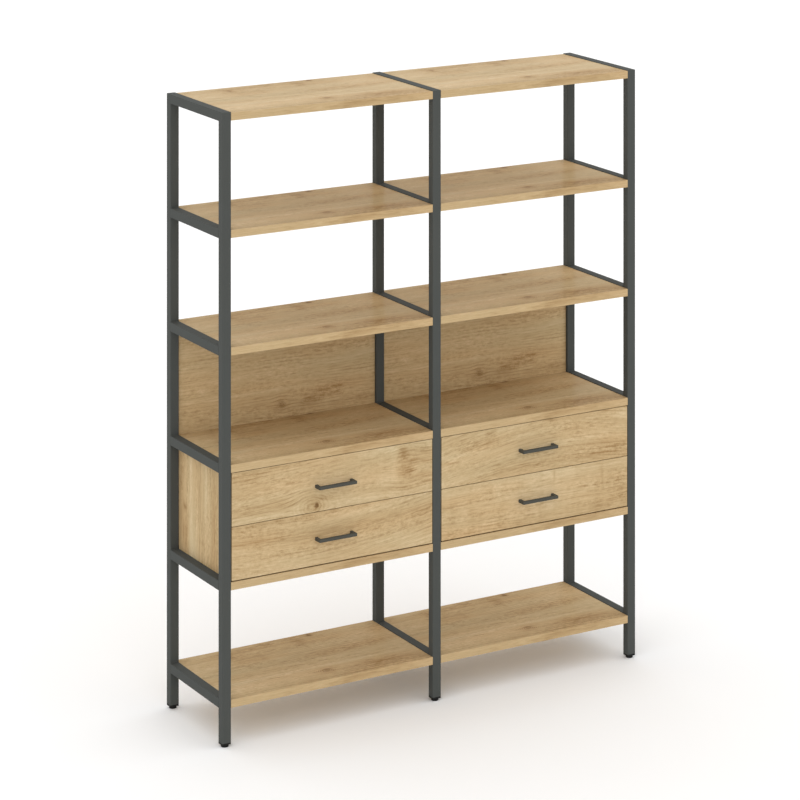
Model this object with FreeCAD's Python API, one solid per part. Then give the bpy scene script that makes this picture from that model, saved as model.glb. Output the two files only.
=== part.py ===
import FreeCAD, Part
import math
import os

from FreeCAD import Vector

# Overall layout, in millimetres
bay_width = 740.0              # clear width between two neighbouring frames
depth = 400.0                  # front face of the posts to their rear face
bottom_shelf_top = 147.0       # floor to the top of the lowest shelf
shelf_pitch = 370.0            # top of one shelf to the top of the next
shelf_levels = 6
drawer_shelf = 1               # level of the shelf that the drawer bay stands on, counted from 0

# Steel frames
tube_width = 31.0              # across the frame, along X
post_depth = 28.0              # post section, along Y
tube_wall = 1.5
tube_corner = 2.0              # outside corner radius
rail_rise = 2.5                # top of a rail above the shelf beside it
bearer_thickness = 3.0         # tab under each shelf corner, flush with the rail's underside
bearer_length = 40.0           # along the rail
bearer_inset = 20.0            # post to tab
bearer_end_margin = 9.0        # screw axis to the tab's free end

# Boards
shelf_thickness = 25.0
panel_thickness = 18.0         # niche backs, drawer bay backs and sides
notch_clearance = 0.5          # around a tab, in the drawer bay sides
dowel_diameter = 8.0
dowel_in_panel = 20.0
dowel_in_shelf = 10.0
dowel_inset = 120.0            # panel end to dowel axis

# Shelf screws
screw_shank_diameter = 4.0
screw_head_diameter = 8.0
screw_head_height = 2.5
screw_bite = 15.0              # length in the board
screw_hole_clearance = 0.25    # radial, in tabs and fronts
screw_head_clearance = 3.0     # head to the drawer bay side

# Levelling feet
foot_height = 8.0              # floor to the end cap
foot_diameter = 25.0
foot_edge = 1.5                # rounded lower rim
foot_neck_diameter = 19.0
foot_neck_height = 1.5
foot_running_gap = 0.3         # foot to end cap
stem_diameter = 8.0
stem_top = 30.0                # floor to the tip of the stem
stem_clearance = 0.05          # radial
cap_flange = 5.5
cap_plug_length = 25.0
cap_plug_clearance = 0.1

# Drawer fronts
front_thickness = 18.0
front_side_gap = 2.5
front_bottom_gap = 4.0
front_middle_gap = 2.0
front_top_gap = 2.0
front_back_gap = 2.0           # back of a closed front to the drawer bay sides

# Handles
handle_spacing = 128.0         # screw to screw
handle_bar = 10.0              # square section
handle_projection = 31.0
handle_edge = 1.2              # rounded edges
handle_drops = {"lower": 0.0, "upper": 2.5}  # handle below the middle of its front
handle_thread_depth = 12.0

# Drawer boxes
box_board = 16.0
box_bottom_offset = 14.0       # lower edge of the front to the box
box_top_margin = 30.0          # box to the upper edge of the front
bottom_thickness = 4.0
bottom_offset = 10.0           # lower edge of the box to its bottom panel
groove_depth = 6.0
groove_clearance = 0.2

# Telescopic runners
runner_space = 13.0            # drawer bay side to drawer box
runner_height = 45.0
runner_wall = 1.2
runner_gap = 0.4               # running gap between members
runner_lip = 4.0               # lip that holds the next member in
runner_depth = 12.2            # cabinet member, out from the drawer bay side
runner_front_setback = 4.0
runner_rear_gap = 8.0          # runner to the drawer bay back

# Derived heights and places
bearer_drop = shelf_thickness + bearer_thickness
rail_height = rail_rise + bearer_drop
bore_corner = max(tube_corner - tube_wall, tube_wall / 5)
shelf_tops = [bottom_shelf_top + level * shelf_pitch for level in range(shelf_levels)]
total_height = shelf_tops[-1] + rail_rise
post_bottom = foot_height + cap_flange
front_y = (handle_projection - depth) / 2
rear_y = front_y + depth
frame_pitch = bay_width + tube_width
frame_centres = {"left": -frame_pitch, "middle": 0.0, "right": frame_pitch}
bay_centres = {"left": -frame_pitch / 2, "right": frame_pitch / 2}
post_centres = {"front": front_y + post_depth / 2, "rear": rear_y - post_depth / 2}

# Drawer bay
bay_floor = shelf_tops[drawer_shelf]
bay_ceiling = shelf_tops[drawer_shelf + 1] - shelf_thickness
niche_floor = shelf_tops[drawer_shelf + 1]
niche_ceiling = shelf_tops[drawer_shelf + 2] - shelf_thickness
panel_front_y = rear_y - panel_thickness
side_front_y = front_y + front_thickness + front_back_gap
front_width = bay_width - 2 * front_side_gap
front_gaps = front_bottom_gap + front_middle_gap + front_top_gap
front_height = (bay_ceiling - bay_floor - front_gaps) / 2
front_bottoms = {
    "lower": bay_floor + front_bottom_gap,
    "upper": bay_floor + front_bottom_gap + front_height + front_middle_gap,
}
box_height = front_height - box_bottom_offset - box_top_margin
box_width = bay_width - 2 * panel_thickness - 2 * runner_space
runner_length = panel_front_y - side_front_y - runner_front_setback - runner_rear_gap
runner_front_y = side_front_y + runner_front_setback
box_front_y = front_y + front_thickness
box_rear_y = runner_front_y + runner_length
screw_offset = panel_thickness + screw_head_clearance + screw_head_diameter / 2
bearer_reach = screw_offset + bearer_end_margin
bearer_starts = [
    front_y + post_depth + bearer_inset,
    rear_y - post_depth - bearer_inset - bearer_length,
]


def block(low, high):
    """A rectangular solid between two corners."""
    size = high - low
    return Part.makeBox(size.x, size.y, size.z, low)


def rod(diameter, start, direction, length):
    return Part.makeCylinder(diameter / 2, length, start, direction)


def rounded_rectangle(width, height, radius):
    """A closed outline centred on the origin in the XY plane."""
    x, y = width / 2, height / 2
    diagonal = radius * (1 - math.sqrt(0.5))
    edges = []
    corners = [(x, y), (-x, y), (-x, -y), (x, -y)]
    runs = []
    for index, (cx, cy) in enumerate(corners):
        sx = math.copysign(1, cx)
        sy = math.copysign(1, cy)
        on_x = Vector(cx - sx * radius, cy, 0)
        on_y = Vector(cx, cy - sy * radius, 0)
        middle = Vector(cx - sx * diagonal, cy - sy * diagonal, 0)
        start, end = (on_y, on_x) if index % 2 == 0 else (on_x, on_y)
        edges.append(Part.Arc(start, middle, end).toShape())
        runs.append((start, end))
    for index, (_, end) in enumerate(runs):
        following = runs[(index + 1) % len(runs)][0]
        edges.append(Part.LineSegment(end, following).toShape())
    return Part.Wire(Part.__sortEdges__(edges))


def tube(section_height, length):
    """A rectangular tube along Z, with its section centred on the origin."""
    outer = rounded_rectangle(tube_width, section_height, tube_corner)
    inner = rounded_rectangle(tube_width - 2 * tube_wall, section_height - 2 * tube_wall, bore_corner)
    section = Part.makeFace([outer, inner], "Part::FaceMakerBullseye")
    return section.extrude(Vector(0, 0, length))


def wedge(centre_x, points):
    """A prism across a frame, from an outline given as (y, z) pairs."""
    corners = [Vector(centre_x - tube_width, y, z) for y, z in points]
    outline = Part.makePolygon(corners + corners[:1])
    return Part.Face(outline).extrude(Vector(2 * tube_width, 0, 0))


def mitre_points(end):
    """The (y, z) places of a frame's outer top corner and of the inner corner below it."""
    outer_y = front_y if end == "front" else rear_y
    inwards = 1 if end == "front" else -1
    outer = (outer_y, total_height)
    inner = (outer_y + inwards * post_depth, total_height - rail_height)
    return outer, inner


def post(centre_x, end):
    """One upright, cut at an angle under the top rail."""
    solid = tube(post_depth, total_height - post_bottom)
    solid.translate(Vector(centre_x, post_centres[end], post_bottom))
    outer, inner = mitre_points(end)
    return solid.cut(wedge(centre_x, [outer, inner, (inner[0], outer[1])]))


def rail_tube(centre_x, rail_top, start_y, end_y):
    """A tube along Y."""
    solid = tube(rail_height, end_y - start_y)
    solid.rotate(Vector(0, 0, 0), Vector(1, 0, 0), -90)
    solid.translate(Vector(centre_x, start_y, rail_top - rail_height / 2))
    return solid


def top_rail(centre_x):
    solid = rail_tube(centre_x, total_height, front_y, rear_y)
    for end in ("front", "rear"):
        outer, inner = mitre_points(end)
        solid = solid.cut(wedge(centre_x, [outer, inner, (outer[0], inner[1])]))
    return solid


def frame(centre_x):
    """Two posts, five rails between them and a mitred top rail, welded together."""
    solids = [post(centre_x, "front"), post(centre_x, "rear")]
    for level_top in shelf_tops[:-1]:
        rail_top = level_top + rail_rise
        solids.append(rail_tube(centre_x, rail_top, front_y + post_depth, rear_y - post_depth))
    solids.append(top_rail(centre_x))
    return solids


def bay_ends(bay):
    """The two frame faces that a bay lies between, each with the way into the bay."""
    half = bay_width / 2
    return [(bay_centres[bay] - half, 1), (bay_centres[bay] + half, -1)]


def bearer_places():
    """Every shelf corner: frame face, way into the bay, start of the tab and shelf top."""
    for bay in bay_centres:
        for level_top in shelf_tops:
            for face_x, inwards in bay_ends(bay):
                for start_y in bearer_starts:
                    yield face_x, inwards, start_y, level_top


def screw_axis(face_x, inwards, start_y, level_top):
    """Underside of the tab on the screw's axis."""
    return Vector(face_x + inwards * screw_offset, start_y + bearer_length / 2, level_top - bearer_drop)


def bearer(face_x, inwards, start_y, level_top):
    far_x = face_x + inwards * bearer_reach
    low = Vector(min(face_x, far_x), start_y, level_top - bearer_drop)
    high = Vector(max(face_x, far_x), start_y + bearer_length, level_top - shelf_thickness)
    foot = screw_axis(face_x, inwards, start_y, level_top)
    hole = rod(screw_shank_diameter + 2 * screw_hole_clearance, foot, Vector(0, 0, 1), bearer_thickness)
    return block(low, high).cut(hole)


def shelf_screw(foot):
    head = rod(screw_head_diameter, foot, Vector(0, 0, -1), screw_head_height)
    shank = rod(screw_shank_diameter, foot, Vector(0, 0, 1), bearer_thickness + screw_bite)
    return head.fuse(shank).removeSplitter()


def vertical_dowel(x, y, joint_z, panel_above):
    """A dowel through the joint between a shelf and a panel that stands on it or hangs below it."""
    low = joint_z - (dowel_in_shelf if panel_above else dowel_in_panel)
    return rod(dowel_diameter, Vector(x, y, low), Vector(0, 0, 1), dowel_in_shelf + dowel_in_panel)


def panel_dowels(bay):
    """Dowels of one bay's niche back, drawer bay back and drawer bay sides."""
    solids = []
    half = bay_width / 2
    back_y = rear_y - panel_thickness / 2
    for x in (bay_centres[bay] - half + dowel_inset, bay_centres[bay] + half - dowel_inset):
        for low, high in ((bay_floor, bay_ceiling), (niche_floor, niche_ceiling)):
            solids.append(vertical_dowel(x, back_y, low, True))
            solids.append(vertical_dowel(x, back_y, high, False))
    for face_x, inwards in bay_ends(bay):
        for y in (side_front_y + dowel_inset, panel_front_y - dowel_inset):
            x = face_x + inwards * panel_thickness / 2
            solids.append(vertical_dowel(x, y, bay_floor, True))
            solids.append(vertical_dowel(x, y, bay_ceiling, False))
    return solids


def shelf(bay, level_top, drilling):
    """A board between two frames, with pilot holes below and dowel holes where panels meet it."""
    half = bay_width / 2
    low = Vector(bay_centres[bay] - half, front_y, level_top - shelf_thickness)
    high = Vector(bay_centres[bay] + half, rear_y, level_top)
    solid = block(low, high)
    for face_x, inwards in bay_ends(bay):
        for start_y in bearer_starts:
            foot = screw_axis(face_x, inwards, start_y, level_top)
            start = foot + Vector(0, 0, bearer_thickness)
            solid = solid.cut(rod(screw_shank_diameter, start, Vector(0, 0, 1), screw_bite))
    return drilled(solid, drilling)


def drilled(solid, dowels):
    """Dowel holes, for the dowels that reach into this board."""
    for dowel in dowels:
        if solid.BoundBox.intersect(dowel.BoundBox):
            solid = solid.cut(dowel)
    return solid


def back_panel(bay, low_z, high_z, drilling):
    half = bay_width / 2
    low = Vector(bay_centres[bay] - half, panel_front_y, low_z)
    high = Vector(bay_centres[bay] + half, rear_y, high_z)
    return drilled(block(low, high), drilling)


def bay_side(face_x, inwards, drilling):
    """A drawer bay side, notched at the top around the tabs of the shelf above."""
    far_x = face_x + inwards * panel_thickness
    low_x, high_x = min(face_x, far_x), max(face_x, far_x)
    solid = block(Vector(low_x, side_front_y, bay_floor), Vector(high_x, panel_front_y, bay_ceiling))
    for start_y in bearer_starts:
        notch_low = Vector(low_x, start_y - notch_clearance, bay_ceiling - bearer_thickness - notch_clearance)
        notch_high = Vector(high_x, start_y + bearer_length + notch_clearance, bay_ceiling)
        solid = solid.cut(block(notch_low, notch_high))
    return drilled(solid, drilling)


def end_cap(x, y):
    """A flange under the post, a plug inside its bore and a hole for the foot's stem."""
    flange = Part.Face(rounded_rectangle(tube_width, post_depth, tube_corner))
    solid = flange.extrude(Vector(0, 0, cap_flange))
    inset = 2 * (tube_wall + cap_plug_clearance)
    plug_outline = rounded_rectangle(tube_width - inset, post_depth - inset, tube_corner)
    plug = Part.Face(plug_outline).extrude(Vector(0, 0, cap_plug_length))
    plug.translate(Vector(0, 0, cap_flange))
    hole_length = cap_flange + cap_plug_length
    hole = rod(stem_diameter + 2 * stem_clearance, Vector(0, 0, 0), Vector(0, 0, 1), hole_length)
    solid = solid.fuse(plug).removeSplitter().cut(hole)
    solid.translate(Vector(x, y, foot_height))
    return solid


def levelling_foot(x, y):
    """A round pad with a rounded rim and a narrower neck, turned in one with its stem."""
    pad_radius = foot_diameter / 2
    neck_radius = foot_neck_diameter / 2
    stem_radius = stem_diameter / 2
    neck_top = foot_height - foot_running_gap
    shoulder = neck_top - foot_neck_height
    rim = foot_edge * math.sqrt(0.5)
    rim_middle = Vector(pad_radius - foot_edge + rim, 0, foot_edge - rim)
    rim_low = Vector(pad_radius - foot_edge, 0, 0)
    rim_high = Vector(pad_radius, 0, foot_edge)
    upper = [
        rim_high,
        Vector(pad_radius, 0, shoulder),
        Vector(neck_radius, 0, shoulder),
        Vector(neck_radius, 0, neck_top),
        Vector(stem_radius, 0, neck_top),
        Vector(stem_radius, 0, stem_top),
        Vector(0, 0, stem_top),
        Vector(0, 0, 0),
        rim_low,
    ]
    edges = [Part.LineSegment(a, b).toShape() for a, b in zip(upper, upper[1:])]
    edges.append(Part.Arc(rim_low, rim_middle, rim_high).toShape())
    profile = Part.Face(Part.Wire(Part.__sortEdges__(edges)))
    solid = profile.revolve(Vector(0, 0, 0), Vector(0, 0, 1), 360)
    solid.translate(Vector(x, y, 0))
    return solid


def folded_strip(points, face_x, inwards):
    """A folded steel section, given as (out, up) points of its middle line, run along the drawer."""
    corners = [Vector(face_x + inwards * out, runner_front_y, up) for out, up in points]
    outline = Part.makePolygon(corners).makeOffset2D(runner_wall / 2, join=2)
    return Part.Face(outline).extrude(Vector(0, runner_length, 0))


def channel_points(out_low, out_high, half_height, lip, centre_z):
    """Middle line of a lipped channel, from the tip of one lip to the tip of the other."""
    half = runner_wall / 2
    web, mouth = out_low + half, out_high - half
    edge = half_height - half
    tip = half_height - lip
    outline = [(mouth, tip), (mouth, edge), (web, edge), (web, -edge), (mouth, -edge), (mouth, -tip)]
    return [(out, centre_z + up) for out, up in outline]


def runner_step(member):
    """How far a runner member lies inside the cabinet member, all round."""
    return member * (runner_wall + runner_gap)


def cabinet_member(face_x, inwards, centre_z):
    points = channel_points(0, runner_depth, runner_height / 2, runner_lip, centre_z)
    return folded_strip(points, face_x, inwards)


def middle_member(face_x, inwards, centre_z):
    step = runner_step(1)
    points = channel_points(step, runner_depth - step, runner_height / 2 - step, runner_lip, centre_z)
    return folded_strip(points, face_x, inwards)


def drawer_member(face_x, inwards, centre_z):
    """A hat section: its web lies on the drawer box and its flanges run in the middle member."""
    half = runner_wall / 2
    step = runner_step(2)
    flange_out = step + half
    flange_edge = runner_height / 2 - step - half
    wall_up = runner_height / 2 - runner_step(1) - runner_lip - runner_gap - runner_wall
    web_out = runner_space - half
    outline = [(flange_out, flange_edge), (flange_out, wall_up), (web_out, wall_up)]
    mirrored = [(out, -up) for out, up in reversed(outline)]
    points = [(out, centre_z + up) for out, up in outline + mirrored]
    return folded_strip(points, face_x, inwards)


def runner_faces(bay):
    """Inner faces of a drawer bay's sides, each with the way towards the drawer."""
    return [(face_x + inwards * panel_thickness, inwards) for face_x, inwards in bay_ends(bay)]


def runner_centre(tier):
    return front_bottoms[tier] + box_bottom_offset + box_height / 2


def handle_axes(bay, tier):
    """Where the two handle screws pass through the front, on its outer face."""
    centre_z = front_bottoms[tier] + front_height / 2 - handle_drops[tier]
    half = handle_spacing / 2
    return [Vector(bay_centres[bay] + side * half, front_y, centre_z) for side in (-1, 1)]


def bottom_panel(bay, tier, spare):
    """The thin bottom, or the groove around it when spare room is given."""
    floor_z = front_bottoms[tier] + box_bottom_offset + bottom_offset
    reach = box_width / 2 - box_board + groove_depth
    low = Vector(bay_centres[bay] - reach - spare, box_front_y - groove_depth - spare, floor_z - spare)
    high = Vector(bay_centres[bay] + reach + spare, box_rear_y, floor_z + bottom_thickness + spare)
    return block(low, high)


def drawer_front(bay, tier):
    half = front_width / 2
    low = Vector(bay_centres[bay] - half, front_y, front_bottoms[tier])
    high = Vector(bay_centres[bay] + half, box_front_y, front_bottoms[tier] + front_height)
    solid = block(low, high).cut(bottom_panel(bay, tier, groove_clearance))
    for axis in handle_axes(bay, tier):
        hole = screw_shank_diameter + 2 * screw_hole_clearance
        solid = solid.cut(rod(hole, axis, Vector(0, 1, 0), front_thickness))
    return solid


def drawer_box(bay, tier):
    """Two sides with grooves, and a back that stands on the bottom panel."""
    low_z = front_bottoms[tier] + box_bottom_offset
    high_z = low_z + box_height
    half = box_width / 2
    groove = bottom_panel(bay, tier, groove_clearance)
    solids = []
    for side in (-1, 1):
        outer_x = bay_centres[bay] + side * half
        inner_x = outer_x - side * box_board
        low = Vector(min(outer_x, inner_x), box_front_y, low_z)
        high = Vector(max(outer_x, inner_x), box_rear_y, high_z)
        solids.append(block(low, high).cut(groove))
    reach = half - box_board
    back_low_z = low_z + bottom_offset + bottom_thickness
    back_low = Vector(bay_centres[bay] - reach, box_rear_y - box_board, back_low_z)
    back_high = Vector(bay_centres[bay] + reach, box_rear_y, high_z)
    solids.append(block(back_low, back_high))
    return solids


def handle(bay, tier):
    """A square bar bent into a bow, with its two screws from inside the drawer."""
    left, right = handle_axes(bay, tier)
    half_bar = handle_bar / 2
    wall_y = front_y
    bar_y = front_y - handle_projection
    outer_left, inner_left = left.x - half_bar, left.x + half_bar
    inner_right, outer_right = right.x - half_bar, right.x + half_bar
    outline = [
        (outer_left, wall_y),
        (outer_left, bar_y),
        (outer_right, bar_y),
        (outer_right, wall_y),
        (inner_right, wall_y),
        (inner_right, bar_y + handle_bar),
        (inner_left, bar_y + handle_bar),
        (inner_left, wall_y),
    ]
    corners = [Vector(x, y, left.z - half_bar) for x, y in outline]
    bow = Part.Face(Part.makePolygon(corners + corners[:1])).extrude(Vector(0, 0, handle_bar))
    rounded = [edge for edge in bow.Edges if not touches_wall(edge, wall_y)]
    bow = bow.makeFillet(handle_edge, rounded)
    solids = []
    for axis in (left, right):
        bow = bow.cut(rod(screw_shank_diameter, axis, Vector(0, -1, 0), handle_thread_depth))
        head_start = axis + Vector(0, front_thickness, 0)
        shank = rod(screw_shank_diameter, head_start, Vector(0, -1, 0), front_thickness + handle_thread_depth)
        head = rod(screw_head_diameter, head_start, Vector(0, 1, 0), screw_head_height)
        solids.append(shank.fuse(head).removeSplitter())
    return [bow] + solids


def touches_wall(edge, wall_y):
    """True for the edges of the two feet where the handle meets the drawer front."""
    return all(abs(vertex.Y - wall_y) < handle_edge / 2 for vertex in edge.Vertexes)


def save(name, solids):
    shape = solids[0] if len(solids) == 1 else Part.makeCompound(solids)
    shape.exportStep(os.path.join("parts", name + ".step"))


os.makedirs("parts", exist_ok=True)

# Frames with their tabs, caps and feet
save("left_side_frame", frame(frame_centres["left"]))
save("middle_frame", frame(frame_centres["middle"]))
save("right_side_frame", frame(frame_centres["right"]))
save("shelf_bearers", [bearer(*place) for place in bearer_places()])
save("shelf_screws", [shelf_screw(screw_axis(*place)) for place in bearer_places()])
feet = [(side, end) for side in frame_centres for end in post_centres]
save("post_end_caps", [end_cap(frame_centres[side], post_centres[end]) for side, end in feet])
for side, end in feet:
    save(f"{side}_{end}_foot", [levelling_foot(frame_centres[side], post_centres[end])])

# Shelves and panels of each bay
all_dowels = []
for bay in bay_centres:
    dowels = panel_dowels(bay)
    all_dowels += dowels
    for level, level_top in enumerate(shelf_tops):
        save(f"{bay}_shelf_{level + 1}", [shelf(bay, level_top, dowels)])
    save(f"{bay}_niche_back", [back_panel(bay, niche_floor, niche_ceiling, dowels)])
    save(f"{bay}_drawer_bay_back", [back_panel(bay, bay_floor, bay_ceiling, dowels)])
    for hand, (face_x, inwards) in zip(("left", "right"), bay_ends(bay)):
        save(f"{bay}_drawer_bay_{hand}_side", [bay_side(face_x, inwards, dowels)])
save("panel_dowels", all_dowels)

# Drawers and their runners
for bay in bay_centres:
    sides = runner_faces(bay)
    tiers = [(tier, runner_centre(tier)) for tier in front_bottoms]
    cabinet = [cabinet_member(*face, centre) for _, centre in tiers for face in sides]
    save(f"{bay}_cabinet_runners", cabinet)
    for tier, centre in tiers:
        drawer = f"{bay}_{tier}_drawer"
        save(f"{drawer}_middle_runners", [middle_member(*face, centre) for face in sides])
        save(f"{drawer}_runners", [drawer_member(*face, centre) for face in sides])
        save(f"{drawer}_front", [drawer_front(bay, tier)])
        save(f"{drawer}_box", drawer_box(bay, tier))
        save(f"{drawer}_bottom", [bottom_panel(bay, tier, 0)])
        save(f"{drawer}_handle", handle(bay, tier))
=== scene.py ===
import math
from typing import NamedTuple

import bmesh
import bpy
from bpy.props import FloatProperty, FloatVectorProperty, PointerProperty
from mathutils import Color, Matrix, Vector


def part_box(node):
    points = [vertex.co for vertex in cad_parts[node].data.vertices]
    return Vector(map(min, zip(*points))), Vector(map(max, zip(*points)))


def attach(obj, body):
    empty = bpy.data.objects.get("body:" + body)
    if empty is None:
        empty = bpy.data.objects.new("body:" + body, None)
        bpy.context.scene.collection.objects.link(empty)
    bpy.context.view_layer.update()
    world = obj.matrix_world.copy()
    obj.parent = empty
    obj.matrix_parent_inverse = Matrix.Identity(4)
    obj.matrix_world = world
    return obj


bl_info = {
    "name": "Bookcase with Drawers",
    "version": (1, 0, 0),
    "blender": (4, 5, 0),
    "location": "View3D > Sidebar > Bookcase",
    "description": "Dresses a two-bay steel and oak bookcase and sets it on a white studio floor",
    "category": "3D View",
}

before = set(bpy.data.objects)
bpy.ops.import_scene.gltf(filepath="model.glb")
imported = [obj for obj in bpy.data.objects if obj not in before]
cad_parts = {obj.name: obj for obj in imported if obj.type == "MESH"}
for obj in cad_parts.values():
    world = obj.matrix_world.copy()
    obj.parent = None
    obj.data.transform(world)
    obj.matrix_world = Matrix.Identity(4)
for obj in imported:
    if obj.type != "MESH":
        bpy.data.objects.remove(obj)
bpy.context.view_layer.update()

BAYS = ("left", "right")
TIERS = ("lower", "upper")
FRAMES = ("left_side_frame", "middle_frame", "right_side_frame")
DRAWERS = [f"{bay}_{tier}_drawer" for bay in BAYS for tier in TIERS]
SHELF_LEVELS = 6
# Boards: their eased edges, and the depth of the calm bands on their long edges, in metres
BOARD_EDGE = 0.0005
EDGE_BAND = 0.0004
# Edges are eased where faces meet at more than this angle, once points this close are joined
EASED_ANGLE = math.radians(50)
JOINED_POINTS = 0.00001
# Steel frames: depth of a post, height of a rail, and the rail's rise above the shelf
POST_DEPTH = 0.028
RAIL_HEIGHT = 0.0305
RAIL_RISE = 0.0025
# Weld beads: their size and sink, their ripples, and how they grow from both ends
WELD_LENGTH = 0.025
WELD_LEG = 0.0022
WELD_SINK = 0.0003
WELD_RIPPLES = 12
WELD_RIPPLE_DEPTH = 0.1
WELD_END_LEG = 0.45
WELD_GROWTH = 6.0
# Screws that hold the drawer members of the runners to the boxes
RUNNER_WALL = 0.0012
RUNNER_SCREW_INSET = 0.045
HEAD_RADIUS = 0.0035
HEAD_HEIGHT = 0.0020
HEAD_DOME = 4
HEAD_REACH = 0.97
RECESS_RADIUS = 0.0020
RECESS_DEPTH = 0.0011
RECESS_SLOT = 0.0005
RECESS_STEEPNESS = 3.0


class Mark(NamedTuple):
    """A knot or a patch in the figure of a board, in metres from the board's low corner.

    A tint above zero darkens the wood and one below zero lightens it.
    Heart is the stain in the middle, and bend is how far the grain parts around it.
    """

    along: float
    across: float
    length: float
    width: float
    tint: float
    heart: float = 0.0
    bend: float = 0.0


class Figure(NamedTuple):
    """Figure of a board: how its grain climbs and arches, how much crosses it, and its marks.

    Shift is where in the grain the board is cut, in metres, so that boards differ.
    """

    slant: float
    arch: float
    cross: float
    marks: tuple
    shift: tuple = (0.0, 0.0, 0.0)


class Layer(NamedTuple):
    """Noise in the oak: its cells per metre along and across the grain, its weight and its detail."""

    along: float
    across: float
    weight: float
    detail: float = 2.0
    roughness: float = 0.5


class Scatter(NamedTuple):
    """Noise cut off low and high: its cells per metre, both cuts, what it gives there, and its detail."""

    along: float
    across: float
    low: float
    high: float
    at_low: float
    at_high: float
    detail: float = 2.0


class Finish(NamedTuple):
    """Fine surface of a coat or a plain board.

    Cells are per metre, tone is how far it darkens in places, spread is how far its roughness varies,
    and height is its relief in metres.
    """

    cells: tuple
    tone: float
    roughness: float
    spread: float
    height: float
    specular: float = 0.5
    metallic: float = 0.0


FRAME_COAT = Finish((900.0, 900.0, 900.0), 0.25, 0.65, 0.10, 0.00008, specular=0.06)
HANDLE_COAT = Finish((1200.0, 1200.0, 1200.0), 0.25, 0.60, 0.10, 0.00005, specular=0.10)
MOULDED_PLASTIC = Finish((1500.0, 1500.0, 1500.0), 0.4, 0.60, 0.15, 0.00006, specular=0.15)
PLATED_STEEL = Finish((400.0, 30.0, 400.0), 0.35, 0.32, 0.20, 0.00003, metallic=1.0)
MELAMINE = Finish((300.0, 120.0, 300.0), 0.08, 0.50, 0.10, 0.00005)
HARDBOARD = Finish((220.0, 220.0, 220.0), 0.15, 0.60, 0.10, 0.00008)
BEECH = Finish((300.0, 300.0, 20.0), 0.25, 0.60, 0.10, 0.00008)
# Broad part of a fine surface, as a share of its cells, its darkest tone, and the strength of its bump
SPECKLE_BROAD = 0.02
SPECKLE_DARK = 0.55
SPECKLE_BUMP = 0.3

# Grain of the oak, from its broad tones to its fibres and pores
WANDER = Layer(1.8, 4.0, 0.03, 1.0)
BROAD = Layer(0.8, 6.0, 0.80)
BANDS = Layer(1.2, 18.0, 0.30)
STREAKS = Layer(1.5, 50.0, 0.40)
WARM_STREAKS = Layer(1.7, 10.0, 1.8)
LONG_LINES = Layer(6.0, 130.0, 0.25, 3.0, 0.6)
SHORT_LINES = Layer(26.0, 120.0, 0.40, 3.0, 0.6)
MOTTLE = Layer(64.0, 112.0, 0.76, 4.0, 0.7)
FIBRES = Layer(18.0, 480.0, 0.7)
CROSSING = Layer(26.0, 7.0, 1.0)
PATCHES = Scatter(4.0, 22.0, 0.38, 0.62, 0.30, 1.45)
DASHES = Scatter(20.0, 260.0, 0.60, 0.74, 0.0, 0.3)
PORES = Scatter(95.0, 1500.0, 0.60, 0.72, 0.0, 0.30, 1.0)
# Growth rings: their turn per metre, their sway, where they show, and the depth of their troughs
RING_TURN = 520.0
RING_SWAY = Layer(2.0, 14.0, 18.0)
RING_PATCHES = Scatter(3.0, 12.0, 0.40, 0.65, 0.0, -0.14)
RING_TROUGH = -0.3
# Marks: their ragged edges and rings, how far the grain parts, and what they do to lines, tone and warmth
RAGGED = Layer(50.0, 80.0, 1.0, 3.0)
MARK_TEAR = 1.1
MARK_RING_TEAR = 0.3
MARK_RING_TURN = 30.0
MARK_RING_DEPTH = 1.5
MARK_PARTING = -0.7
HEART_EDGES = (0.02, 0.40)
HEART_STAIN = 0.85
MOST_STAIN = 0.95
FLAME_LINES = 0.25
FLAME_TONE = -0.16
FLAME_WARMTH = 0.15
# Tones of the oak's three colours, the mean tone, and how much calmer the edge bands are
BROWN_TONE = 0.12
WOOD_TONE = 0.5
PALE_TONE = 0.88
MEAN_TONE = 0.53
EDGE_CALM = -0.3
# Hues of the oak, from cool to warm, and how the broad tones share in them
COOL_HUE = (0.974, 1.031, 1.072, 1.0)
WARM_HUE = (1.026, 0.969, 0.928, 1.0)
BROAD_WARMTH = -1.9
# Gloss and relief of the oak: its roughness at a dark and at a pale tone, its specular level and its bump
GLOSS_TONES = (0.1, 0.9)
OAK_ROUGHNESS = (0.32, 0.24)
OAK_SPECULAR = 0.005
OAK_BUMP = 0.25
OAK_RELIEF = 0.0004

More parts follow.
